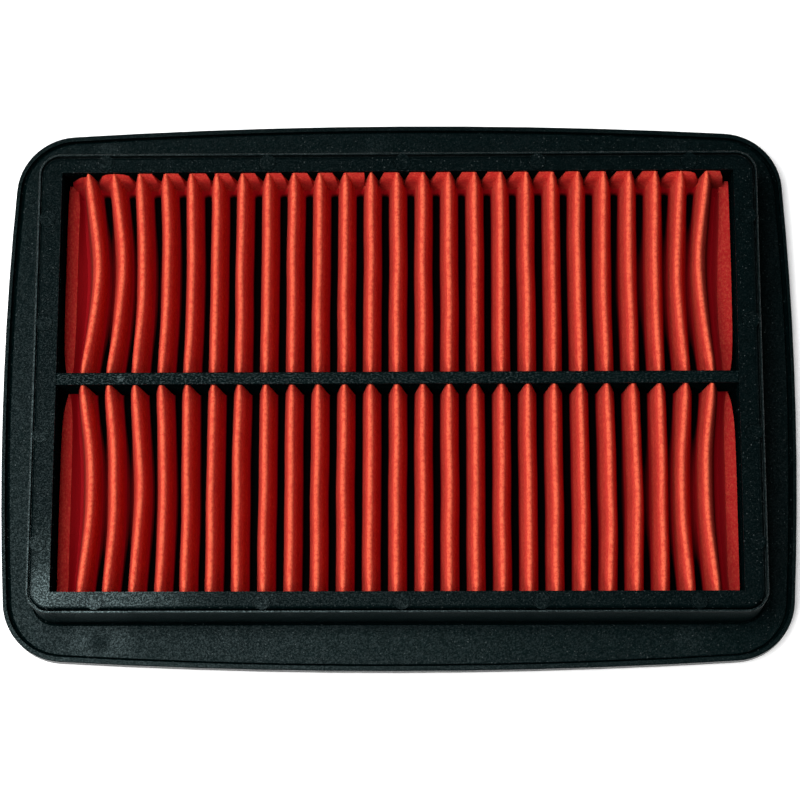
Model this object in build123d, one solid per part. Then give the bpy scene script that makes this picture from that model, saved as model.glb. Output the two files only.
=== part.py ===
"""Panel air filter for a motorcycle airbox, dirty-air side up.

The origin is at the centre of the plane that the seal rests on. +X runs along the
filter's length, +Y along its width and +Z towards the dirty-air side. Millimetres.

A flanged outer housing carries a rubber seal round its edge. A cassette frame drops
into the housing and holds the pleated media, which a comb bar spaces at mid-width.
On the clean-air side a wire screen and a staked grid hold the pleats up.
"""

import os

from build123d import *

# Plan of the flange and seal: a rectangle with crowned sides and round corners.
length = 240.0
width = 170.0
crown_of_long_sides = 3.95
crown_of_short_sides = 3.25
corner_radius = 18.5

# Seal: a pad under the flange with two ribs, and a rim round the flange's edge. The
# rim and the groove inside it differ between the short sides (x) and long sides (y).
rim_width_x = 1.05
rim_width_y = 1.4
rim_top = 6.0
rim_edge_round = 0.35
rim_bottom = 2.0
pad_inset = 1.0
rib_height = 0.8
rib_width = 1.4
rib_insets = (2.4, 7.2)
pad_top = 2.8
pad_clearance = 0.3

# Outer housing: flange, box wall and the thin lip that surrounds the cassette.
groove_width_x = 1.3
groove_width_y = 0.6
flange_step = 4.0
flange_top = 5.2
flange_edge_round = 0.25
relief_width = 0.6
relief_depth = 1.0
box_length = 217.0
box_width = 140.8
box_radius = 6.5
wall_thickness = 2.0
skirt_bottom = 0.8
shoulder_top = 21.0
lip_width = 0.5
lip_top = 23.5
lip_edge_round = 0.2

# Cassette frame: front ledge, media chamber and the stakes that hold the grid.
ledge_gap = 0.5
ledge_top = 24.2
ledge_edge_round = 1.2
cassette_fit = 0.1
cassette_bottom = 2.6
window_length = 202.8
window_width = 128.6
window_step = 21.6
side_step = 0.3
flap_shelf_top = 9.0
flap_shelf_width = 1.05
sealant_thickness = 1.0

# Ejector-pin witness marks on the ledge, each a low disc in a fine moat.
mark_radius = 2.45
mark_height = 0.1
moat_width = 0.2
moat_depth = 0.2
mark_root_depth = 1.2
side_mark_rows = (-49.8, -17.2, 17.2, 49.8)
side_mark_line = 105.4
long_mark_rows = (-88.2, -39.2, 1.6, 42.4, 88.2)
long_mark_line = 67.2
bar_mark_radius = 1.2
bar_mark_place = -82.3

# Pleats. The pitch fills the window with a clamped flap beyond each outermost pleat.
pleat_count = 25
pleat_pitch = window_length / (pleat_count + 1)
pleat_tip = 23.0
tip_half_width = 0.8
tip_round = 0.5
valley_floor = 5.5
valley_half_width = 0.5
media_bottom = 3.5
media_thickness = 1.8
flap_bond_thickness = 0.6

# Comb bar over the pleats.
bar_width = 3.7
bar_top = 24.0
bar_edge_round = 0.3
comb_clearance = 0.08
tooth_thickness = 1.2
tooth_tip = 10.5
end_tooth_tip = 12.5

# Wire screen and staked grid on the clean-air side.
wire_diameter = 0.4
wire_pitch = 3.0
screen_margin = 0.5
grid_bottom = 0.8
grid_window_length = 197.0
grid_window_width = 123.0
grid_edge_round = 0.4
long_rib_width = 5.0
short_rib_width = 3.0
short_rib_places = (-66.0, -22.0, 22.0, 66.0)
stake_radius = 0.9
stake_hole_clearance = 0.1
stake_head_radius = 1.7
stake_head_height = 0.5
stake_long_places = (-88.0, -44.0, 0.0, 44.0, 88.0)
stake_short_places = (-44.0, 0.0, 44.0)

# Lengths worked out from the above.
cavity_length = box_length - 2 * wall_thickness
cavity_width = box_width - 2 * wall_thickness
cavity_radius = box_radius - wall_thickness
cassette_length = cavity_length - 2 * cassette_fit
cassette_width = cavity_width - 2 * cassette_fit
ledge_length = box_length - 2 * (lip_width + ledge_gap)
ledge_width = box_width - 2 * (lip_width + ledge_gap)
ledge_radius = box_radius - lip_width - ledge_gap
chamber_length = window_length - 2 * side_step
chamber_width = window_width + 2 * sealant_thickness
lower_chamber_length = chamber_length - 2 * flap_shelf_width
flap_bottom = flap_shelf_top + flap_bond_thickness
flap_top = flap_bottom + media_thickness
flank_slope = (pleat_pitch / 2 - valley_half_width - tip_half_width) / (pleat_tip - valley_floor)
stake_long_row = (chamber_width + cassette_width) / 4
stake_short_row = (lower_chamber_length + cassette_length) / 4


def crowned_plate(inset_x, inset_y, bottom, top):
    """A plate with the flange's crowned outline, moved inwards by the two insets."""
    half_length = length / 2 - inset_x
    half_width = width / 2 - inset_y
    corner_x = half_length - crown_of_short_sides
    corner_y = half_width - crown_of_long_sides
    sides = [
        ThreePointArc((-corner_x, corner_y), (0, half_width), (corner_x, corner_y)),
        ThreePointArc((corner_x, corner_y), (half_length, 0), (corner_x, -corner_y)),
        ThreePointArc((corner_x, -corner_y), (0, -half_width), (-corner_x, -corner_y)),
        ThreePointArc((-corner_x, -corner_y), (-half_length, 0), (-corner_x, corner_y)),
    ]
    outline = make_face(Curve() + sides)
    outline = fillet(outline.vertices(), corner_radius - (inset_x + inset_y) / 2)
    return Pos(0, 0, bottom) * extrude(outline, top - bottom)


def rounded_block(size_x, size_y, radius, bottom, top):
    """A block centred on Z with round vertical corners."""
    return Pos(0, 0, bottom) * extrude(RectangleRounded(size_x, size_y, radius), top - bottom)


def block(low_x, high_x, low_y, high_y, low_z, high_z):
    """A square-cornered block between two corners."""
    centre = Pos((low_x + high_x) / 2, (low_y + high_y) / 2, (low_z + high_z) / 2)
    return centre * Box(high_x - low_x, high_y - low_y, high_z - low_z)


def centred_block(size_x, size_y, bottom, top):
    """A square-cornered block centred on Z."""
    return block(-size_x / 2, size_x / 2, -size_y / 2, size_y / 2, bottom, top)


def peg(x, y, radius, bottom, top):
    """An upright cylinder."""
    return Pos(x, y, (bottom + top) / 2) * Cylinder(radius, top - bottom)


def top_edges(shape, height):
    """The edges of a shape that lie flat at a height."""
    return [e for e in shape.edges() if abs(e.bounding_box().min.Z - height) < 1e-4
            and abs(e.bounding_box().max.Z - height) < 1e-4]


def upright_profile(points, low_y, high_y):
    """A closed outline of (x, z) points, extruded from one Y to another."""
    outline = make_face(Polyline(*[(x, low_y, z) for x, z in points], close=True))
    return extrude(outline, high_y - low_y, dir=(0, 1, 0))


def make_perimeter_seal():
    """The rubber seal: pad, rim and two ribs that press on the airbox."""
    seal = crowned_plate(0, 0, rim_bottom, rim_top)
    seal = fillet(top_edges(seal, rim_top), rim_edge_round)
    seal += crowned_plate(pad_inset, pad_inset, rib_height, rim_bottom)
    seal -= crowned_plate(rim_width_x, rim_width_y, pad_top, rim_top)
    for outer in rib_insets:
        inner = outer + rib_width
        rib = crowned_plate(outer, outer, 0, rib_height)
        seal += rib - crowned_plate(inner, inner, 0, rib_height)
    opening_length = box_length + 2 * pad_clearance
    opening_width = box_width + 2 * pad_clearance
    opening_radius = box_radius + pad_clearance
    return seal - rounded_block(opening_length, opening_width, opening_radius, 0, pad_top)


def make_outer_housing():
    """The flange with its tongue, the box wall and the thin lip."""
    tongue = crowned_plate(rim_width_x, rim_width_y, pad_top, flange_step)
    flange = crowned_plate(rim_width_x + groove_width_x, rim_width_y + groove_width_y,
                           flange_step, flange_top)
    flange -= rounded_block(box_length + 2 * relief_width, box_width + 2 * relief_width,
                            box_radius + relief_width, flange_top - relief_depth, flange_top)
    flange = fillet(top_edges(flange, flange_top), flange_edge_round)
    wall = rounded_block(box_length, box_width, box_radius, skirt_bottom, lip_top)
    wall = fillet(top_edges(wall, lip_top), lip_edge_round)
    cavity = rounded_block(cavity_length, cavity_width, cavity_radius, skirt_bottom, shoulder_top)
    lip_cavity = rounded_block(box_length - 2 * lip_width, box_width - 2 * lip_width,
                               box_radius - lip_width, shoulder_top, lip_top)
    return tongue + flange + wall - cavity - lip_cavity


def ledge_mark_places():
    """Centres of the ejector-pin marks on the front ledge."""
    for sign in (-1, 1):
        for y in side_mark_rows:
            yield sign * side_mark_line, y
        for x in long_mark_rows:
            yield x, sign * long_mark_line


def stake_places():
    """Centres of the stakes that hold the grid."""
    for sign in (-1, 1):
        for x in stake_long_places:
            yield x, sign * stake_long_row
        for y in stake_short_places:
            yield sign * stake_short_row, y


def make_cassette_frame():
    """The inner frame: front ledge, media chamber, pin marks and headed stakes."""
    ledge = rounded_block(ledge_length, ledge_width, ledge_radius, shoulder_top, ledge_top)
    ledge = fillet(top_edges(ledge, ledge_top), ledge_edge_round)
    for x, y in ledge_mark_places():
        ledge -= peg(x, y, mark_radius + moat_width, ledge_top - moat_depth, ledge_top)
        ledge += peg(x, y, mark_radius, ledge_top - mark_root_depth, ledge_top + mark_height)
    walls = rounded_block(cassette_length, cassette_width, cavity_radius - cassette_fit,
                          cassette_bottom, shoulder_top)
    frame = ledge + walls
    frame -= centred_block(window_length, window_width, window_step, ledge_top + 1)
    frame -= centred_block(chamber_length, chamber_width, flap_shelf_top, window_step)
    frame -= centred_block(lower_chamber_length, chamber_width, cassette_bottom, flap_shelf_top)
    head_bottom = grid_bottom - stake_head_height
    for x, y in stake_places():
        frame += peg(x, y, stake_radius, grid_bottom, cassette_bottom)
        frame += peg(x, y, stake_head_radius, head_bottom, grid_bottom)
    return frame


def pleat_places():
    """X of each pleat's tip."""
    half = (pleat_count - 1) / 2
    return [(i - half) * pleat_pitch for i in range(pleat_count)]


def make_pleated_media():
    """One folded sheet, pinched to sharp folds, with a flap clamped at each end."""
    valley_reach = pleat_pitch / 2 - valley_half_width
    pinch_depth = (media_thickness - tip_half_width) / flank_slope
    slot_top = pleat_tip - pinch_depth
    slot_half_width = (slot_top - media_bottom) * flank_slope
    flap_end = chamber_length / 2
    flap_inner = lower_chamber_length / 2 - media_thickness
    dirty_side = [(-flap_end, flap_top), (-flap_inner, flap_top), (-flap_inner, valley_floor)]
    clean_side = []
    for x in pleat_places():
        dirty_side += [
            (x - valley_reach, valley_floor),
            (x - tip_half_width, pleat_tip - tip_round),
            (x - tip_round / 2, pleat_tip),
            (x + tip_round / 2, pleat_tip),
            (x + tip_half_width, pleat_tip - tip_round),
            (x + valley_reach, valley_floor),
        ]
        clean_side += [
            (x - slot_half_width, media_bottom),
            (x, slot_top),
            (x + slot_half_width, media_bottom),
        ]
    dirty_side += [(flap_inner, valley_floor), (flap_inner, flap_top), (flap_end, flap_top)]
    flap_outer = lower_chamber_length / 2
    flap_start = [(-flap_end, flap_bottom), (-flap_outer, flap_bottom), (-flap_outer, media_bottom)]
    flap_finish = [(flap_outer, media_bottom), (flap_outer, flap_bottom), (flap_end, flap_bottom)]
    underside = flap_start + clean_side + flap_finish
    return upright_profile(dirty_side + underside[::-1], -window_width / 2, window_width / 2)


def flank_reach(height):
    """Distance from a pleat's middle to the comb's face at a height."""
    return tip_half_width + (pleat_tip - height) * flank_slope + comb_clearance


def make_front_crossbar():
    """The comb bar: a beam across the tips with a wedge tooth in every valley.

    The teeth are thin and stand under the beam's front edge.
    """
    tooth_front = -bar_width / 2
    tooth_back = tooth_front + tooth_thickness
    beam_bottom = pleat_tip + comb_clearance
    beam = centred_block(window_length, bar_width, beam_bottom, bar_top)
    beam = fillet(top_edges(beam, bar_top), bar_edge_round)
    places = pleat_places()
    for left, right in zip(places, places[1:]):
        beam += upright_profile([
            (left + flank_reach(beam_bottom), beam_bottom),
            (left + flank_reach(tooth_tip), tooth_tip),
            (right - flank_reach(tooth_tip), tooth_tip),
            (right - flank_reach(beam_bottom), beam_bottom),
        ], tooth_front, tooth_back)
    for sign in (-1, 1):
        beam += upright_profile([
            (sign * (places[-1] + flank_reach(beam_bottom)), beam_bottom),
            (sign * (places[-1] + flank_reach(end_tooth_tip)), end_tooth_tip),
            (sign * chamber_length / 2, end_tooth_tip),
            (sign * chamber_length / 2, beam_bottom),
        ], tooth_front, tooth_back)
    return beam + peg(bar_mark_place, 0, bar_mark_radius, beam_bottom, bar_top + mark_height)


def make_edge_sealant(side):
    """The bead that seals the pleats' cut ends to one long wall."""
    near = side * window_width / 2
    far = side * chamber_width / 2
    return block(-lower_chamber_length / 2, lower_chamber_length / 2,
                 min(near, far), max(near, far), media_bottom, window_step)


def make_flap_sealant(side):
    """The strip that bonds the media's end flap to its shelf."""
    near = side * lower_chamber_length / 2
    far = side * chamber_length / 2
    return block(min(near, far), max(near, far), -window_width / 2, window_width / 2,
                 flap_shelf_top, flap_bottom)


def make_flame_screen():
    """Two layers of crossed wires, each wire its own solid."""
    size_x = lower_chamber_length - 2 * screen_margin
    size_y = chamber_width - 2 * screen_margin
    radius = wire_diameter / 2
    count_along_y = int(size_y / wire_pitch)
    count_along_x = int(size_x / wire_pitch)
    wires = []
    for i in range(count_along_y + 1):
        y = (i - count_along_y / 2) * wire_pitch
        wires.append(Pos(0, y, cassette_bottom + radius) * Rot(0, 90, 0) * Cylinder(radius, size_x))
    for i in range(count_along_x + 1):
        x = (i - count_along_x / 2) * wire_pitch
        height = cassette_bottom + wire_diameter + radius
        wires.append(Pos(x, 0, height) * Rot(90, 0, 0) * Cylinder(radius, size_y))
    return Compound(children=wires)


def make_rear_grid():
    """The clean-side ring with one long rib and four short ribs."""
    ring = rounded_block(cassette_length, cassette_width, cavity_radius - cassette_fit,
                         grid_bottom, cassette_bottom)
    ring = fillet(top_edges(ring, grid_bottom), grid_edge_round)
    ring -= centred_block(grid_window_length, grid_window_width, grid_bottom, cassette_bottom)
    ring += centred_block(grid_window_length, long_rib_width, grid_bottom, cassette_bottom)
    for x in short_rib_places:
        ring += Pos(x, 0, 0) * centred_block(short_rib_width, grid_window_width,
                                             grid_bottom, cassette_bottom)
    for x, y in stake_places():
        ring -= peg(x, y, stake_radius + stake_hole_clearance, grid_bottom, cassette_bottom)
    return ring


def main():
    os.makedirs("parts", exist_ok=True)
    parts = {
        "perimeter_seal": make_perimeter_seal(),
        "outer_housing": make_outer_housing(),
        "cassette_frame": make_cassette_frame(),
        "pleated_media": make_pleated_media(),
        "front_crossbar": make_front_crossbar(),
        "back_edge_sealant": make_edge_sealant(1),
        "front_edge_sealant": make_edge_sealant(-1),
        "left_flap_sealant": make_flap_sealant(-1),
        "right_flap_sealant": make_flap_sealant(1),
        "flame_screen": make_flame_screen(),
        "rear_grid": make_rear_grid(),
    }
    for name, shape in parts.items():
        export_step(shape, f"parts/{name}.step")
        print(name, round(shape.volume), "mm3")


main()
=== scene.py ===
# Panel air filter for a motorcycle airbox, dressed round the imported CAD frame.
# The scene is in metres and the shape values in mm, which mm turns into metres.
# +Z is the dirty-air side and +Y is the back long side.

import math

import bpy
import numpy as np
from mathutils import Matrix, Vector


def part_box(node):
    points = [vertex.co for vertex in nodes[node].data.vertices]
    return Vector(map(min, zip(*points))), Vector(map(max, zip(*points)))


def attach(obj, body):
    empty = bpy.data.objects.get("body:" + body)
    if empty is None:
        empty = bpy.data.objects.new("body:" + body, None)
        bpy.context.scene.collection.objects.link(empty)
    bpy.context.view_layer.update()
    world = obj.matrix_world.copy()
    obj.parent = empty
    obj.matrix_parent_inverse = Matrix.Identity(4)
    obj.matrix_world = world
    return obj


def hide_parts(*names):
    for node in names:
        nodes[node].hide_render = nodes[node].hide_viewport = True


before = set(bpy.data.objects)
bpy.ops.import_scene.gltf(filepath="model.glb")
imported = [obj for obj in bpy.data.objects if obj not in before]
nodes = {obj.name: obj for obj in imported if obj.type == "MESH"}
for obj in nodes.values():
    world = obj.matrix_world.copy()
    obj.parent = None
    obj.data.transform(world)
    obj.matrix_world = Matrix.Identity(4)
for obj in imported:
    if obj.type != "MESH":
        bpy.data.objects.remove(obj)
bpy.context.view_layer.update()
mm = 0.001
print("frame loaded:", len(nodes), "nodes")


# Materials

def freshMaterial(name):
    material = bpy.data.materials.new(name)
    material.use_nodes = True
    tree = material.node_tree
    shader = next(n for n in tree.nodes if n.type == "BSDF_PRINCIPLED")
    return material, tree, shader


def addNode(tree, kind, **settings):
    node = tree.nodes.new(kind)
    for key, value in settings.items():
        setattr(node, key, value)
    return node


def objectSpace(tree, stretch=(1, 1, 1)):
    place = addNode(tree, "ShaderNodeTexCoord")
    mapping = addNode(tree, "ShaderNodeMapping")
    mapping.inputs["Scale"].default_value = stretch
    tree.links.new(place.outputs["Object"], mapping.inputs["Vector"])
    return mapping.outputs["Vector"]


def noise(tree, vector, scale, detail, roughness):
    node = addNode(tree, "ShaderNodeTexNoise")
    node.inputs["Scale"].default_value = scale
    node.inputs["Detail"].default_value = detail
    node.inputs["Roughness"].default_value = roughness
    tree.links.new(vector, node.inputs["Vector"])
    return node.outputs["Fac"]


def remap(tree, value, span, low, high, curve="LINEAR"):
    node = addNode(tree, "ShaderNodeMapRange", interpolation_type=curve)
    for key, number in zip(("From Min", "From Max", "To Min", "To Max"),
                           (*span, low, high)):
        node.inputs[key].default_value = number
    tree.links.new(value, node.inputs["Value"])
    return node.outputs["Result"]


def calculate(tree, operation, first, second):
    node = addNode(tree, "ShaderNodeMath", operation=operation)
    for socket, value in zip(node.inputs, (first, second)):
        if isinstance(value, (int, float)):
            socket.default_value = value
        else:
            tree.links.new(value, socket)
    return node.outputs["Value"]


def mixColours(tree, factor, first, second):
    node = addNode(tree, "ShaderNodeMix", data_type="RGBA")
    for socket, colour in ((node.inputs[6], first), (node.inputs[7], second)):
        if isinstance(colour, tuple):
            socket.default_value = (*colour, 1)
        else:
            tree.links.new(colour, socket)
    tree.links.new(factor, node.inputs["Factor"])
    return node.outputs[2]


def addBump(tree, shader, layers):
    # each layer is a height, a strength and a distance, coarse first
    last = None
    for height, strength, distance in layers:
        bump = addNode(tree, "ShaderNodeBump")
        bump.inputs["Strength"].default_value = strength
        bump.inputs["Distance"].default_value = distance
        tree.links.new(height, bump.inputs["Height"])
        if last is not None:
            tree.links.new(last, bump.inputs["Normal"])
        last = bump.outputs["Normal"]
    tree.links.new(last, shader.inputs["Normal"])


def attribute(tree, name):
    return addNode(tree, "ShaderNodeAttribute", attribute_name=name).outputs["Fac"]


def rubbedPatches(tree, place, spots):
    # soft round patches in plan: x, y, inner radius and outer radius in mm, strength
    flat = addNode(tree, "ShaderNodeVectorMath", operation="MULTIPLY")
    tree.links.new(place, flat.inputs[0])
    flat.inputs[1].default_value = (1, 1, 0)
    total = 1.0
    for x, y, inner, outer, strength in spots:
        gap = addNode(tree, "ShaderNodeVectorMath", operation="DISTANCE")
        tree.links.new(flat.outputs["Vector"], gap.inputs[0])
        gap.inputs[1].default_value = (x * mm, y * mm, 0)
        span = (inner * mm, outer * mm)
        patch = remap(tree, gap.outputs["Value"], span, strength, 0, "SMOOTHSTEP")
        total = calculate(tree, "ADD", patch, total)
    return total


def polishOf(tree, place, look):
    # gloss by height: the top faces, the underside and the box walls
    axes = addNode(tree, "ShaderNodeSeparateXYZ")
    tree.links.new(place, axes.inputs["Vector"])
    height = axes.outputs["Z"]
    top = remap(tree, height, look["polishSpan"], 0, look["gloss"])
    rubbed = rubbedPatches(tree, place, look["patches"])
    top = calculate(tree, "MULTIPLY", rubbed, top)
    under = remap(tree, height, look["underSpan"], look["underGloss"], 0)
    wall = remap(tree, height, look["wallSpan"], 1, look["wallPolish"])
    return calculate(tree, "MULTIPLY", wall, calculate(tree, "ADD", under, top))


def mouldedPlastic(name, look):
    material, tree, shader = freshMaterial(name)
    place = objectSpace(tree)
    speckle = noise(tree, objectSpace(tree, look["grainStretch"]), look["grainScale"],
                    detail=2.0, roughness=0.7)
    dust = noise(tree, place, look["dustScale"], detail=1.0, roughness=0.5)
    clouds = noise(tree, place, look["cloudScale"], detail=4.0, roughness=0.7)
    sheen = noise(tree, place, look["sheenScale"], detail=2.0, roughness=0.5)
    flow = noise(tree, objectSpace(tree, look["flowStretch"]), look["flowScale"],
                 detail=2.0, roughness=0.5)
    cloudy = remap(tree, clouds, look["cloudSpan"], 0, 1)
    dusty = remap(tree, dust, look["dustSpan"], 0, look["dustAmount"])
    dark = mixColours(tree, cloudy, look["dark"], look["mid"])
    colour = mixColours(tree, dusty, dark, look["dust"])
    tree.links.new(colour, shader.inputs["Base Color"])
    rough = remap(tree, sheen, look["sheenSpan"], look["roughLow"], look["roughHigh"])
    tree.links.new(rough, shader.inputs["Roughness"])
    glint = remap(tree, speckle, look["glintSpan"], look["glintLow"], look["glintHigh"])
    level = calculate(tree, "MULTIPLY", glint, polishOf(tree, place, look))
    tree.links.new(level, shader.inputs["Specular IOR Level"])
    shader.inputs["Specular Tint"].default_value = (*look["glossTint"], 1)
    addBump(tree, shader, [(sheen, look["sheenBump"], look["sheenDepth"]),
                           (flow, look["flowBump"], look["flowDepth"]),
                           (speckle, look["grainBump"], look["grainDepth"])])
    return material


def feltMaterial(name, look):
    material, tree, shader = freshMaterial(name)
    place = objectSpace(tree)
    fibres = noise(tree, objectSpace(tree, look["fibreStretch"]), look["fibreScale"],
                   detail=4.0, roughness=0.75)
    pills = noise(tree, place, look["pillScale"], detail=3.0, roughness=0.6)
    dye = noise(tree, place, look["dyeScale"], detail=3.0, roughness=0.6)
    depth = attribute(tree, "felt_depth")
    # painted shade: the felt darkens to black deep in the pleats' valleys
    paintedValleyShade = remap(tree, depth, look["paintedValleyShadeSpan"], 0, look["paintedValleyShadeAmount"])
    dyed = remap(tree, dye, look["dyeSpan"], 0, 1)
    colour = mixColours(tree, dyed, look["deep"], look["plain"])
    # from the felt itself out to the painted shade: painted crest highlight, fibres, pills,
    # painted flank shade, painted shade on flaps and flares, painted valley shade, each laid
    # over the last
    for factor, over in (
        (remap(tree, depth, look["crestHighlightSpan"], look["crestHighlightAmount"], 0), look["crest"]),
        (remap(tree, fibres, look["fibreSpan"], 0, look["fibreAmount"]), look["bright"]),
        (remap(tree, pills, look["pillSpan"], 0, look["pillAmount"]), look["deep"]),
        (remap(tree, depth, look["paintedFlankShadeSpan"], 0, look["paintedFlankShadeAmount"]), look["paintedFlankShade"]),
        (attribute(tree, "felt_painted_shade"), look["paintedShadeTint"]),
        (paintedValleyShade, look["paintedValleyShade"]),
    ):
        colour = mixColours(tree, factor, colour, over)
    tree.links.new(colour, shader.inputs["Base Color"])
    # painted glow: emission low on the flanks, kept out of the painted valley shade, stands in
    # for light through the thin felt
    outsideValleyShade = calculate(tree, "SUBTRACT", 1.0, paintedValleyShade)
    paintedGlowMask = remap(tree, depth, look["paintedGlowSpan"], 0, look["paintedGlow"])
    tree.links.new(calculate(tree, "MULTIPLY", paintedGlowMask, outsideValleyShade),
                   shader.inputs["Emission Strength"])
    shader.inputs["Emission Color"].default_value = (*look["glowColour"], 1)
    shader.inputs["Roughness"].default_value = look["roughness"]
    shader.inputs["Specular IOR Level"].default_value = look["gloss"]
    shader.inputs["Sheen Roughness"].default_value = look["sheenRoughness"]
    shader.inputs["Sheen Tint"].default_value = (*look["sheenTint"], 1)
    tree.links.new(calculate(tree, "MULTIPLY", outsideValleyShade, look["sheen"]),
                   shader.inputs["Sheen Weight"])
    addBump(tree, shader, [(pills, look["pillBump"], look["pillDepth"]),
                           (fibres, look["fibreBump"], look["fibreDepth"])])
    return material


def drawnWire(name, look):
    material, tree, shader = freshMaterial(name)
    streaks = noise(tree, objectSpace(tree), look["streakScale"], detail=3.0, roughness=0.6)
    bare = remap(tree, streaks, look["bareSpan"], 0, 1)
    tree.links.new(mixColours(tree, bare, look["dull"], look["bare"]),
                   shader.inputs["Base Color"])
    shader.inputs["Metallic"].default_value = 1.0
    rough = remap(tree, streaks, look["roughSpan"], look["roughLow"], look["roughHigh"])
    tree.links.new(rough, shader.inputs["Roughness"])
    addBump(tree, shader, [(streaks, look["streakBump"], look["streakDepth"])])
    return material


# the frame's round ejector marks are a little glossier than the ledge round them
markLook = {
    "sideLine": 105.4, "sideRows": (-49.8, -17.2, 17.2, 49.8),
    "longLine": 67.2, "longRows": (-88.2, -39.2, 1.6, 42.4, 88.2),
    "patch": (2.2, 2.5, 0.35),
}
markPatches = (
    [(sign * markLook["sideLine"], y, *markLook["patch"])
     for sign in (-1, 1) for y in markLook["sideRows"]]
    + [(x, sign * markLook["longLine"], *markLook["patch"])
       for sign in (-1, 1) for x in markLook["longRows"]])

housingLook = {
    "dark": (0.0002, 0.0021, 0.0023), "mid": (0.0005, 0.0033, 0.0036),
    "cloudScale": 420, "cloudSpan": (0.35, 0.65),
    "dust": (0.10, 0.12, 0.12), "dustScale": 1700, "dustAmount": 0.5,
    "dustSpan": (0.68, 0.80),
    "sheenScale": 38, "sheenSpan": (0.3, 0.7), "roughLow": 0.31, "roughHigh": 0.37,
    "sheenBump": 0.10, "sheenDepth": 0.3 * mm,
    "flowScale": 2400, "flowStretch": (0.05, 0.05, 1), "flowBump": 0.25,
    "flowDepth": 0.08 * mm,
    "gloss": 0.048, "polishSpan": (4.3 * mm, 4.9 * mm), "glossTint": (0.70, 0.95, 0.97),
    "wallPolish": 4.0, "wallSpan": (6 * mm, 8 * mm),
    "underGloss": 0.06, "underSpan": (3.4 * mm, 3.7 * mm),
    "grainScale": 2200, "grainStretch": (1, 1, 1), "grainBump": 0.5,
    "grainDepth": 0.06 * mm, "glintSpan": (0.44, 0.66), "glintLow": 0.5, "glintHigh": 2.9,
    "patches": [(-89.6, 78.6, 0, 7, 0.9), (-7.3, 78.2, 0, 6, 0.8),
                (85.5, 78.6, 0, 6, 0.8), (-88.6, -75.0, 4, 13, 0.7),
                (-88.6, -76.5, 1, 5, -1.1), (86.6, -75.8, 0, 7, 0.7)],
}
frameLook = dict(
    housingLook, dark=(0.0002, 0.0017, 0.0019), mid=(0.0004, 0.0025, 0.0028),
    gloss=0.030, polishSpan=(23.8 * mm, 24.15 * mm), wallPolish=1.0,
    grainBump=0.7, glintSpan=(0.46, 0.64), glintHigh=3.6,
    patches=[(-90, 68, 2, 9, 0.35), (-104, -64, 2, 9, 3.0), (-86, -68, 6, 34, 3.0)]
    + markPatches)
barLook = dict(
    housingLook, gloss=0.045, polishSpan=(23.4 * mm, 23.9 * mm), wallPolish=1.0,
    dustAmount=0.3, grainScale=2500, grainStretch=(0.5, 1, 1), grainBump=0.9,
    grainDepth=0.12 * mm, glintSpan=(0.50, 0.62), glintLow=0.3, glintHigh=5.5,
    patches=[(-82.3, 0, 1.1, 1.4, 1.0)])
gridLook = dict(
    housingLook, polishSpan=(0, 0.5 * mm), wallPolish=1.0, underGloss=0.0,
    patches=[(0, 0, 10, 90, 0.2)])
rubberLook = dict(
    housingLook, gloss=0.06, polishSpan=(0, 0.1 * mm), wallPolish=1.0, underGloss=0.0,
    sheenScale=60, dustAmount=0.3, grainBump=0.6, patches=[(0, 0, 10, 90, 0.1)])
sealantLook = dict(
    housingLook, dark=(0.0006, 0.0010, 0.0011), mid=(0.0010, 0.0015, 0.0016),
    gloss=0.0, wallPolish=1.0, underGloss=0.0, dustAmount=0.0,
    patches=[(0, 0, 10, 90, 0.1)])
feltLook = {
    "deep": (0.45, 0.015, 0.015), "plain": (0.59, 0.034, 0.031),
    "dyeScale": 160, "dyeSpan": (0.3, 0.7),
    # the spans of the painted crest highlight, painted flank shade, painted valley shade and
    # painted glow are shares of a pleat's depth
    # the crest colour is a painted highlight along the pleat crests
    "crest": (0.68, 0.115, 0.056), "crestHighlightSpan": (0.02, 0.075), "crestHighlightAmount": 0.9,
    # the flank colour is painted shade on the flanks below the knee
    "paintedFlankShade": (0.46, 0.008, 0.012), "paintedFlankShadeSpan": (0.59, 0.61), "paintedFlankShadeAmount": 0.9,
    # the valley colour is painted shade deep in the pleats
    "paintedValleyShade": (0.0002, 0.0004, 0.0004), "paintedValleyShadeSpan": (0.80, 0.93), "paintedValleyShadeAmount": 1.0,
    # painted glow, emitted low on the flanks
    "glowColour": (1.0, 0.004, 0.03), "paintedGlowSpan": (0.57, 0.61), "paintedGlow": 0.05,
    # painted shade on the end flaps, the flares and the valleys by the flaps
    "paintedShadeTint": (0.20, 0.002, 0.005),
    "bright": (0.75, 0.128, 0.062), "fibreScale": 2000, "fibreStretch": (1, 0.5, 1),
    "fibreSpan": (0.44, 0.62), "fibreAmount": 0.6, "fibreBump": 0.7,
    "fibreDepth": 0.1 * mm,
    "pillScale": 1200, "pillSpan": (0.44, 0.60), "pillAmount": 0.6, "pillBump": 0.6,
    "pillDepth": 0.25 * mm,
    "roughness": 0.9, "gloss": 0.08,
    "sheen": 0.03, "sheenRoughness": 0.5, "sheenTint": (1.0, 0.28, 0.12),
}
cleanFeltLook = dict(feltLook, paintedGlow=0.0, paintedValleyShadeAmount=0.0, paintedFlankShadeAmount=0.0, crestHighlightAmount=0.0)
wireLook = {
    "dull": (0.22, 0.22, 0.21), "bare": (0.5, 0.5, 0.48), "bareSpan": (0.35, 0.65),
    "streakScale": 1800, "streakBump": 0.2, "streakDepth": 0.02 * mm,
    "roughSpan": (0.3, 0.7), "roughLow": 0.28, "roughHigh": 0.5,
}

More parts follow.
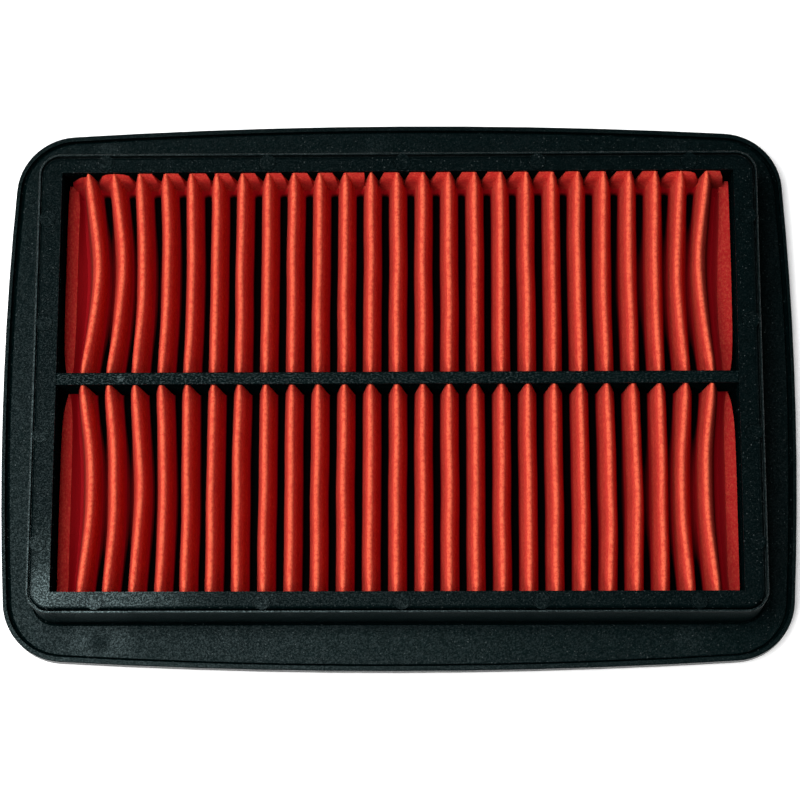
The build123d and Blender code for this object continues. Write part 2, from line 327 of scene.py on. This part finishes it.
housingPlastic = mouldedPlastic("housing_plastic", housingLook)
framePlastic = mouldedPlastic("frame_plastic", frameLook)
gridPlastic = mouldedPlastic("grid_plastic", gridLook)
barPlastic = mouldedPlastic("bar_plastic", barLook)
sealRubber = mouldedPlastic("seal_rubber", rubberLook)
sealantBlack = mouldedPlastic("sealant_black", sealantLook)
redFelt = feltMaterial("red_felt", feltLook)
cleanFelt = feltMaterial("clean_side_felt", cleanFeltLook)
screenWire = drawnWire("screen_wire", wireLook)
print("materials made")


def dressNode(name, material):
    slots = nodes[name].data.materials
    slots.clear()
    slots.append(material)


for name, material in {
    "perimeter_seal": sealRubber, "outer_housing": housingPlastic,
    "cassette_frame": framePlastic, "front_crossbar": barPlastic,
    "back_edge_sealant": sealantBlack, "front_edge_sealant": sealantBlack,
    "left_flap_sealant": sealantBlack, "right_flap_sealant": sealantBlack,
    "flame_screen": screenWire, "rear_grid": gridPlastic,
}.items():
    dressNode(name, material)
print("frame dressed")


# Pleated media: one felt sheet, laid out row by row across the width, in mm

mediaShape = {
    "pleats": 25, "thickness": 0.8, "tip": 23.0, "depth": 17.6,
    "seed": 7, "creaseAngle": 50,
    # half a pleat's outline, from the crest: how deep, and how far out
    "outlineDepth": (0, 0.10, 0.45, 1.3, 3.4, 6.0, 8.4, 10.3, 10.8, 14.0, 16.6, 17.3, 17.6),
    "outlineReach": (0, 0.36, 0.66, 0.96, 1.38, 1.80, 2.13, 2.38, 2.42, 2.68, 2.90, 3.25, 3.9),
    # rows of the sheet, as distances from a long wall and from the bar
    "wallRows": (0, 0.25, 0.6, 1.0, 1.5, 2.1, 2.8, 3.6, 4.4, 5.4, 6.8, 9.0),
    "middleRows": 15, "middleFromWall": 12.0, "middleFromBar": 7.0,
    "barRows": (4.6, 3.2, 2.2, 1.4, 0.8, 0.3, 0), "underBar": 0.6,
    # the crest is pinched by the bar and by both walls
    "squeezeAtBar": 0.60, "squeezeAtFront": 0.70, "squeezeAtBack": 0.55,
    "squeezeDepth": 4.0, "barTaper": 5, "wallTaper": 4,
    # sideways bow of a crest at mid span, by pleat, and how far its foot follows
    "backBow": {0: 3.7, 1: 3.4, 2: 1.6, 3: 1.3, 4: 0.9, 5: 0.3, 19: -0.3, 20: -0.4,
                21: -0.5, 22: -0.6, 23: -1.8, 24: -3.0},
    "frontBow": {0: 3.0, 1: 2.2, 2: 1.9, 3: 1.2, 4: 0.3, 6: -0.3, 19: 0.3, 20: 0.7,
                 21: 0.6, 22: 0.3, 23: -1.8, 24: -2.5},
    "frontShift": {0: 0.9, 1: 0.8, 2: 0.7, 3: 0.7, 4: 0.3},
    "bowPower": 1.2, "footFollow": 0.6,
    "waver": 0.13, "longWave": 9, "shortWave": 4.3, "shortShare": 0.6,
    "liftWave": 13, "liftShare": 0.8,
    # flares of glued pleat ends on the back wall
    "flareLength": 1.3, "flareBlend": 1.1, "flareDrop": 3.3, "flareSpread": 0.3,
    "flareWaver": 0.25, "flareRound": 0.97, "flarePoints": 5, "flareStep": 0.3,
    "flareFloor": 0.6, "flareGap": 0.1, "notchGap": 0.05, "notchDepth": 8.0,
    # the plain depth a flare's upper part is shaded as, and the depth where a flare's painted
    # shade is full
    "flareShade": 3.0, "flareShadeDepth": 7.5,
    # by valley: the side it hangs on, its reach, its droop and how low it starts
    "flares": {-1: (1, 2.6, 1.5, 3.0), 0: (1, 4.2, 2.4, 0.3), 1: (-1, 4.2, 2.4, 0.3),
               10: (-1, 6.0, 0.2, 0.0), 22: (1, 4.2, 2.4, 0.3),
               23: (-1, 4.2, 2.4, 0.3), 24: (-1, 4.4, 0.2, 0.1)},
    "leftFlare": (-1, 3.8, 0.2, 0.0), "rightFlare": (1, 3.8, 0.2, 0.0), "flareTurn": 10,
    # how much less painted valley shade the outer valleys get and over how many pleats, then
    # the painted shade in the valley by each flap
    "outerValleyShadeCut": 0.13, "outerValleyShadePleats": 6, "flapValleyShadeCap": 0.78, "flapValleyPaintedShade": 0.75,
}

# the sheet's two end flaps: a land by the wall, a knee and a facet down to the foot
flapShape = {
    "landHeight": 11.4, "crown": 0.1, "wallGap": 0.02, "footGap": 0.6,
    "barTaper": 0.08, "wallTaper": 0.10, "barGap": 1.9, "barNarrowing": 0.85,
    "backGap": 0.3, "frontGap": 0.1,
    "leftWidth": {"back": 3.5, "front": 3.4}, "rightWidth": {"back": 2.9, "front": 3.4},
    "rightBackWidening": 1.4, "rightBackSpan": 0.6, "rightRise": 1.2, "leftSink": 0.6,
    "kneeRun": 0.12, "kneeDrop": 0.5, "facetRun": 0.3, "facetDrop": 3.6,
    "footRun": 0.35, "footDrop": 5.4,
    # depth: share of pleat depth each flap point is shaded as, giving painted flank shade on
    # the facet; the two shade rows are painted shade on the lands and facets, the left flap
    # darker
    "depth": (0.42, 0.42, 0.43, 0.62, 0.66, 0.70),
    "leftPaintedShade": (0.45, 0.45, 0.48, 0.62, 0.66, 0.72),
    "rightPaintedShade": (0.50, 0.50, 0.52, 0.70, 0.76, 0.84),
}


def smoothStep(value):
    t = np.clip(value, 0, 1)
    return t * t * (3 - 2 * t)


def outlineReach(shape, depth, squeeze):
    # a squeeze below 1 pinches the crest and leaves the flanks
    pinch = 1 - (1 - squeeze) * np.exp(-np.asarray(depth) / shape["squeezeDepth"])
    return pinch * np.interp(depth, shape["outlineDepth"], shape["outlineReach"])


def plainHalf(shape, squeeze, pitch):
    depth = np.array(shape["outlineDepth"])
    reach = outlineReach(shape, depth, squeeze)
    reach[-1] = pitch / 2
    return np.stack([reach, depth], 1)


def flaredHalves(shape, pitch, fromWall, squeeze, flare, waver):
    # the half that carries the flare, and the half that faces it, crest first
    side, reach, droop, start = flare
    count = len(shape["outlineDepth"])
    step = shape["flareStep"]
    drop = min(start + shape["flareDrop"] * fromWall, shape["depth"] - shape["flareFloor"])
    notch = max(shape["notchDepth"], drop + step)
    along = count - shape["flarePoints"]
    depth = drop * (np.arange(along) / (along - 1)) ** 2
    carrying = [(float(outlineReach(shape, d, squeeze)), d) for d in depth]
    foot = carrying[-1][0]
    notchReach = pitch - float(outlineReach(shape, notch, 1))
    edge = min(reach + waver + shape["flareSpread"] * drop, notchReach - shape["flareGap"])
    edge = max(edge, foot + step)
    for share in (1 / 3, 2 / 3, 1):
        sag = 1 - math.sqrt(1 - (shape["flareRound"] * share) ** 2)
        carrying.append((foot + (edge - foot) * share, drop + droop * sag))
    low = carrying[-1][1]
    notch = max(notch, low + step)
    notchReach = pitch - float(outlineReach(shape, notch, 1))
    notchReach = max(notchReach, edge + shape["notchGap"])
    carrying += [((edge + notchReach) / 2, (low + notch) / 2), (notchReach, notch)]
    depth = notch * (np.arange(count) / (count - 1)) ** 2
    facing = [(float(outlineReach(shape, d, squeeze)), d) for d in depth]
    facing[-1] = (pitch - notchReach, notch)
    return np.array(carrying), np.array(facing)


def rowPlaces(shape, halfWidth, barHalf):
    # closer together by the walls and the bar
    middle = np.linspace(halfWidth - shape["middleFromWall"],
                         barHalf + shape["middleFromBar"], shape["middleRows"])
    half = ([halfWidth - gap for gap in shape["wallRows"]] + list(middle)
            + [barHalf + gap for gap in shape["barRows"]])
    under = shape["underBar"]
    return np.array([-y for y in half] + [-under, under] + half[::-1])


def flapSection(flap, sign, wallEnd, foot, spanPlace, backHalf):
    # from the wall inwards: land, knee, facet and the foot by the outermost pleat
    nearBar = math.exp(-spanPlace / flap["barTaper"])
    nearWall = math.exp(-(1 - spanPlace) / flap["wallTaper"])
    half = "back" if backHalf else "front"
    gap = flap["barGap"] * nearBar + flap[half + "Gap"] * nearWall
    width = flap["leftWidth" if sign < 0 else "rightWidth"][half]
    if sign > 0 and backHalf:
        width += flap["rightBackWidening"] * smoothStep((1 - spanPlace) / flap["rightBackSpan"])
    height = flap["landHeight"]
    height += (flap["rightRise"] if sign > 0 else -flap["leftSink"] * backHalf) * nearWall
    outer = wallEnd - flap["wallGap"] - gap
    inner = max(outer - width * (1 - flap["barNarrowing"] * nearBar), foot + flap["footGap"])
    crown = flap["crown"]
    return [(outer, height), ((outer + inner) / 2, height + crown), (inner, height - crown),
            (inner - flap["kneeRun"], height - flap["kneeDrop"]),
            ((inner + foot) / 2 + flap["facetRun"], height - flap["facetDrop"]),
            (foot + flap["footRun"], height - flap["footDrop"])]


def rowHalves(shape, pitch, squeeze, fromWall, backHalf, reachWaver):
    # both halves of every pleat in a row, with the depth each point is shaded as
    # and how much painted shade darkens it
    pleats = shape["pleats"]
    plain = plainHalf(shape, squeeze, pitch)
    halves = {(pleat, side): plain for pleat in range(pleats) for side in (-1, 1)}
    shades = {key: plain[:, 1] for key in halves}
    flarePaintedShades = {key: np.zeros(len(plain)) for key in halves}
    span = shape["flareBlend"]
    blend = smoothStep((shape["flareLength"] + span - fromWall) / span)
    if not backHalf or blend <= 0:
        return halves, shades, flarePaintedShades
    onFlare = np.arange(len(plain)) >= len(plain) - shape["flarePoints"]
    for valley in range(-1, pleats):
        usual = shape["leftFlare" if valley < shape["flareTurn"] else "rightFlare"]
        flare = shape["flares"].get(valley, usual)
        carrying, facing = flaredHalves(shape, pitch, fromWall, squeeze, flare,
                                        reachWaver[valley])
        owner, other = (valley, 1), (valley + 1, -1)
        if flare[0] > 0:
            owner, other = other, owner
        halves[owner] = plain + (carrying - plain) * blend
        halves[other] = plain + (facing - plain) * blend
        depth = halves[owner][:, 1]
        # painted shade on a flare, darker toward its lower edge; its upper part keeps a plain
        # depth
        flareShadeRamp = smoothStep((depth - 1) / (shape["flareShadeDepth"] - 1))
        lit = onFlare & (depth < shape["flareShadeDepth"])
        shades[owner] = np.where(lit, shape["flareShade"], depth)
        flarePaintedShades[owner] = np.where(onFlare, blend * flareShadeRamp, 0)
        shades[other] = halves[other][:, 1]
    return halves, shades, flarePaintedShades


def layOut(shape, flap):
    # the sheet's points, their share of the pleats' depth, and their painted shade
    random = np.random.default_rng(shape["seed"])
    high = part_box("pleated_media")[1] / mm
    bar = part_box("front_crossbar")
    pleats, follow = shape["pleats"], shape["footFollow"]
    pitch = (bar[1][0] - bar[0][0]) / mm / (pleats + 1)
    barHalf = bar[1][1] / mm
    y = rowPlaces(shape, high[1], barHalf)
    halfSteps, flapSteps = len(shape["outlineDepth"]) - 1, len(flap["depth"])
    columns = pleats * 2 * halfSteps + 2 * flapSteps
    grid = np.zeros((columns + 1, len(y), 3))
    depths = np.zeros((columns + 1, len(y)))
    paintedShades = np.zeros((columns + 1, len(y)))
    phase = random.uniform(0, 2 * math.pi, (pleats, 4))
    reachWaver = random.normal(0, shape["flareWaver"], pleats + 1)
    span = high[1] - barHalf
    for r, place in enumerate(y):
        back = place > 0
        fromBar = abs(place) - barHalf
        fromWall = high[1] - abs(place)
        spanPlace = min(max(fromBar / span, 0), 1)
        bowShape = math.sin(math.pi * spanPlace) ** shape["bowPower"]
        bows = shape["backBow" if back else "frontBow"]
        atWall = shape["squeezeAtBack" if back else "squeezeAtFront"]
        squeeze = 1 - (1 - shape["squeezeAtBar"]) * (
            1 - smoothStep(fromBar / shape["barTaper"]))
        squeeze -= (1 - atWall) * (1 - smoothStep(fromWall / shape["wallTaper"]))
        halves, shades, flarePaintedShades = rowHalves(shape, pitch, squeeze, fromWall, back, reachWaver)
        leans = []
        for pleat in range(pleats):
            wave = phase[pleat]
            ripple = (math.sin(place / shape["longWave"] + wave[0])
                      + shape["shortShare"] * math.sin(place / shape["shortWave"] + wave[1]))
            bow = (bows.get(pleat, 0) + shape["waver"] * ripple) * bowShape
            bow += 0 if back else shape["frontShift"].get(pleat, 0) * spanPlace
            lift = (shape["liftShare"] * shape["waver"] * bowShape
                    * math.sin(place / shape["liftWave"] + wave[2]))
            centre = (pleat - (pleats - 1) / 2) * pitch
            leans.append(bow)
            fromEnd = min(pleat, pleats - 1 - pleat)
            openness = bowShape * max(0, 1 - fromEnd / shape["outerValleyShadePleats"])
            # outer valleys get less painted valley shade
            valleyShadeScale = 1 - shape["outerValleyShadeCut"] * openness
            for side in (-1, 1):
                crest = flapSteps + pleat * 2 * halfSteps + halfSteps
                byFlap = (pleat, side) in ((0, -1), (pleats - 1, 1))
                for k, (reach, depth) in enumerate(halves[pleat, side]):
                    at = (crest + side * k, r)
                    lean = 1 - depth / shape["depth"]
                    grid[at] = (centre + side * reach + bow * (follow + (1 - follow) * lean),
                                place, shape["tip"] - depth + lift * lean)
                    depths[at] = valleyShadeScale * shades[pleat, side][k] / shape["depth"]
                    paintedShades[at] = flarePaintedShades[pleat, side][k]
                    if byFlap and depth > shape["notchDepth"]:
                        # the valley by a flap gets less painted valley shade and a painted dark
                        # red shade instead
                        depths[at] = min(depths[at], shape["flapValleyShadeCap"])
                        paintedShades[at] = shape["flapValleyPaintedShade"]
        for valley in range(pleats - 1):
            middle = flapSteps + (valley + 1) * 2 * halfSteps
            grid[middle, r, 0] += follow * (leans[valley] - leans[valley + 1]) / 2
        for sign, first in ((-1, 0), (1, columns)):
            outermost = leans[0] if sign < 0 else -leans[-1]
            foot = pleats / 2 * pitch - follow * outermost
            section = flapSection(flap, sign, high[0], foot, spanPlace, back)
            for k, (px, pz) in enumerate(section):
                at = (first - sign * k, r)
                grid[at] = (sign * px, place, pz)
                depths[at] = flap["depth"][k]
                paintedShades[at] = flap["leftPaintedShade" if sign < 0 else "rightPaintedShade"][k]
    return grid, depths, paintedShades, 2 * float(high[1]) * mm


def makeMedia(shape, flap):
    grid, depths, paintedShades, flatWidth = layOut(shape, flap)
    columns, rows = grid.shape[0] - 1, grid.shape[1]
    bpy.ops.object.select_all(action="DESELECT")
    bpy.ops.mesh.primitive_grid_add(x_subdivisions=columns, y_subdivisions=rows - 1, size=1)
    media = bpy.context.object
    media.name = "folded_media"
    places = np.empty(len(media.data.vertices) * 3)
    media.data.vertices.foreach_get("co", places)
    places = places.reshape(-1, 3)
    column = np.rint((places[:, 0] + 0.5) * columns).astype(int)
    row = np.rint((places[:, 1] + 0.5) * (rows - 1)).astype(int)
    media.data.vertices.foreach_set("co", (grid[column, row] * mm).reshape(-1))
    media.data.update()
    # felt_depth drives the painted crest highlight, flank shade, valley shade and glow; the
    # second attribute is painted shade
    for name, values in (("felt_depth", depths), ("felt_painted_shade", paintedShades)):
        layer = media.data.attributes.new(name, "FLOAT", "POINT")
        layer.data.foreach_set("value", values[column, row])
    print("sheet laid out:", columns, "by", rows - 1, "faces")
    # the flat length follows the fold a quarter of the way across
    steps = np.linalg.norm(np.diff(grid[:, rows // 4], axis=0), axis=1)
    flatLength = float(steps.sum()) * mm
    for felt in (redFelt, cleanFelt):
        media.data.materials.append(felt)
    thick = media.modifiers.new("thickness", "SOLIDIFY")
    thick.thickness = shape["thickness"] * mm
    thick.offset = -1
    thick.material_offset = 1
    thick.material_offset_rim = 1
    bpy.ops.object.modifier_apply(modifier=thick.name)
    bpy.ops.object.mode_set(mode="EDIT")
    bpy.ops.mesh.select_all(action="SELECT")
    bpy.ops.mesh.normals_make_consistent(inside=False)
    bpy.ops.object.mode_set(mode="OBJECT")
    bpy.ops.object.shade_smooth_by_angle(angle=math.radians(shape["creaseAngle"]))
    return media, flatLength, flatWidth


media, flatLength, flatWidth = makeMedia(mediaShape, flapShape)
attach(media, "root")
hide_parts("pleated_media")
print("media folded:", len(media.data.polygons), "faces, flat",
      round(flatWidth, 4), "by", round(flatLength, 3))


# Floor, lights and camera

studio = {
    "floorSize": 6.0, "floorColour": (0.9, 0.9, 0.9), "floorRoughness": 0.9,
    "floorGlow": 0.3, "glowColour": (1, 1, 1),
    "worldColour": (0.9, 0.95, 1.0), "worldStrength": 0.04,
    "softboxAim": (0, 0, 0.02),
    "softboxes": {
        "key": {"at": (-0.36, -0.06, 1.30), "size": 0.66, "power": 18},
        "left": {"at": (-1.15, 0.05, 0.75), "size": 0.5, "power": 9},
        "right": {"at": (1.15, 0.05, 0.75), "size": 0.8, "power": 3.5},
        "front": {"at": (-0.45, -1.00, 1.00), "size": 0.35, "power": 8},
    },
}

# the camera stands almost overhead, a little to the front and right;
# its place is measured from the top of the seal's rim
cameraView = {
    "place": (0.0191, -0.2121, 0.8481), "tilt": 0.2451, "pan": 0.0218, "roll": 0.0038,
    "lens": 129.92, "sensor": 36, "shift": (0.00239, -0.00996), "nearest": 0.01,
}


def aimAt(thing, target):
    thing.rotation_mode = "QUATERNION"
    away = Vector(target) - thing.location
    thing.rotation_quaternion = away.to_track_quat("-Z", "Y")


bpy.ops.object.select_all(action="DESELECT")
bpy.ops.mesh.primitive_plane_add(size=studio["floorSize"])
floor = bpy.context.object
floor.name = "floor"
floorPaint, floorTree, floorShader = freshMaterial("floor_paint")
for socket, value in {
    "Base Color": (*studio["floorColour"], 1), "Roughness": studio["floorRoughness"],
    "Specular IOR Level": 0.0, "Emission Color": (*studio["glowColour"], 1),
    "Emission Strength": studio["floorGlow"],
}.items():
    floorShader.inputs[socket].default_value = value
floor.data.materials.append(floorPaint)

for name, box in studio["softboxes"].items():
    bpy.ops.object.light_add(type="AREA", location=box["at"])
    lamp = bpy.context.object
    lamp.name = name + "_softbox"
    lamp.data.size = box["size"]
    lamp.data.energy = box["power"]
    aimAt(lamp, studio["softboxAim"])

world = bpy.data.worlds.new("studio")
world.use_nodes = True
sky = next(n for n in world.node_tree.nodes if n.type == "BACKGROUND")
sky.inputs["Color"].default_value = (*studio["worldColour"], 1)
sky.inputs["Strength"].default_value = studio["worldStrength"]
bpy.context.scene.world = world

rimTop = float(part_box("perimeter_seal")[1][2])
bpy.ops.object.camera_add()
camera = bpy.context.object
camera.matrix_world = (
    Matrix.Translation(Vector(cameraView["place"]) + Vector((0, 0, rimTop)))
    @ Matrix.Rotation(cameraView["tilt"], 4, "X")
    @ Matrix.Rotation(cameraView["pan"], 4, "Y")
    @ Matrix.Rotation(-cameraView["roll"], 4, "Z"))
camera.data.lens = cameraView["lens"]
camera.data.sensor_width = cameraView["sensor"]
camera.data.shift_x, camera.data.shift_y = cameraView["shift"]
camera.data.clip_start = cameraView["nearest"]
bpy.context.scene.camera = camera
bpy.context.scene.view_settings.view_transform = "Standard"
print("studio ready")
